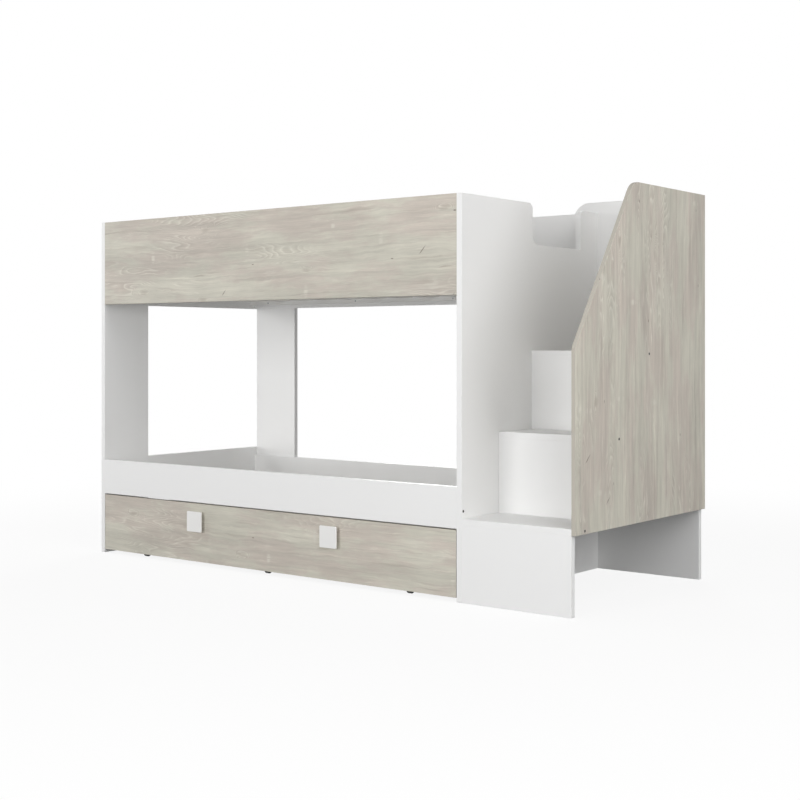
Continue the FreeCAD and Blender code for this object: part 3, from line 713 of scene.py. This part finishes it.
finish_nodes()
print("finishes in use", sorted({n.material_slots[0].material.name for n in nodes.values()}))

# %% [markdown]
# ## Lamps
# The picture is a studio one: soft light from all round, strongest from the front. A sky texture would
# light the bed evenly too, but its boards would lose their shading, so eight large square lamps stand
# about it, each with a power of its own. The one behind stands to the left, where it does not reach the
# inner side of the left upright through the open back.

# %% Lamps
LAMPS = {
    "front_lamp": {"place": (0.0, -6.5, 1.5), "power": 174.0},
    "left_lamp": {"place": (-6.0, -1.0, 1.5), "power": 150.0},
    "left_front_lamp": {"place": (-5.0, -3.5, 1.8), "power": 38.0},
    "right_lamp": {"place": (6.0, -1.0, 1.5), "power": 78.0},
    "right_front_lamp": {"place": (5.5, -3.5, 2.0), "power": 48.0},
    "near_lamp": {"place": (3.0, -3.6, 1.2), "power": 35.0},
    "high_lamp": {"place": (4.5, -1.5, 4.5), "power": 86.0},
    "back_lamp": {"place": (-3.0, 6.0, 2.5), "power": 245.0},
}
LAMP_SIZE = 3.0
LAMP_TARGET = (0.1, 0.0, 0.7)


def make_lamp(name, place, power):
    data = bpy.data.lights.new(name, "AREA")
    data.size = LAMP_SIZE
    data.energy = power
    lamp = bpy.data.objects.new(name, data)
    lamp.location = place
    lamp.rotation_euler = (Vector(LAMP_TARGET) - Vector(place)).to_track_quat("-Z", "Y").to_euler()
    lamp.visible_camera = False
    bpy.context.scene.collection.objects.link(lamp)


bpy.context.scene.view_settings.view_transform = "Standard"
for lamp_name, lamp in LAMPS.items():
    make_lamp(lamp_name, **lamp)
print("lamps", sorted(LAMPS))

# %% [markdown]
# ## Room and floor
# The white ground is made for the camera alone: its rays, and those that mirror or pass through, see a
# bright room and floor, while the light that reaches the bed from there stays at a plain level. The floor
# keeps a share of the bed's shade near it. Further away it has none, so it meets the white room without
# a line.

# %% Room
PURE_WHITE = (1.0, 1.0, 1.0, 1.0)
FILL_STRENGTH = 0.15


def seen_directly(tree):
    """1 for rays that show the ground in the picture, directly, mirrored or through glass."""
    path = add(tree, "LightPath").outputs
    mirrored = calculate(tree, "MAXIMUM", path["Is Glossy Ray"], path["Is Transmission Ray"])
    return calculate(tree, "MAXIMUM", path["Is Camera Ray"], mirrored)


def make_room():
    world = bpy.data.worlds.new("room")
    bpy.context.scene.world = world
    world.use_nodes = True
    tree = world.node_tree
    strength = between(tree, seen_directly(tree), FILL_STRENGTH, 1.0)
    tree.links.new(strength, tree.nodes["Background"].inputs["Strength"])
    tree.nodes["Background"].inputs["Color"].default_value = PURE_WHITE


make_room()
print("room fill", FILL_STRENGTH)

# %% Floor
FLOOR_SIDE = 60.0
FLOOR_BOUNCE = (0.20, 0.20, 0.20, 1.0)
FLOOR_WHITE = (0.90, 0.90, 0.90, 1.0)
FLOOR_ROUGHNESS = 0.9
FLOOR_SHADE_SHARE = 0.12
SHADE_REACH = 1.6
SHADE_END = 4.2


def make_floor_finish():
    material, tree, shader = new_material("floor")
    shader.inputs["Base Color"].default_value = FLOOR_BOUNCE
    shader.inputs["Roughness"].default_value = FLOOR_ROUGHNESS
    shader.inputs["Specular IOR Level"].default_value = 0.0
    white = add(tree, "BsdfDiffuse", {"Color": FLOOR_WHITE}).outputs[0]
    glow = add(tree, "Emission", {"Color": PURE_WHITE, "Strength": 1.0}).outputs[0]
    middle = add(tree, "VectorMath", {0: own_place(tree)}, operation="LENGTH").outputs["Value"]
    share = product(tree, soft_step(tree, middle, SHADE_END, SHADE_REACH), FLOOR_SHADE_SHARE)
    bright = add(tree, "MixShader", {0: share, 1: glow, 2: white}).outputs[0]
    whole = add(tree, "MixShader", {0: seen_directly(tree), 1: shader.outputs[0], 2: bright}).outputs[0]
    tree.links.new(whole, tree.nodes["Material Output"].inputs["Surface"])
    return material


def make_floor():
    half = FLOOR_SIDE / 2
    mesh = bpy.data.meshes.new("floor")
    corners = [(-half, -half, 0.0), (half, -half, 0.0), (half, half, 0.0), (-half, half, 0.0)]
    mesh.from_pydata(corners, [], [(0, 1, 2, 3)])
    mesh.materials.append(make_floor_finish())
    floor = bpy.data.objects.new("floor", mesh)
    bpy.context.scene.collection.objects.link(floor)


make_floor()
print("floor side", FLOOR_SIDE)
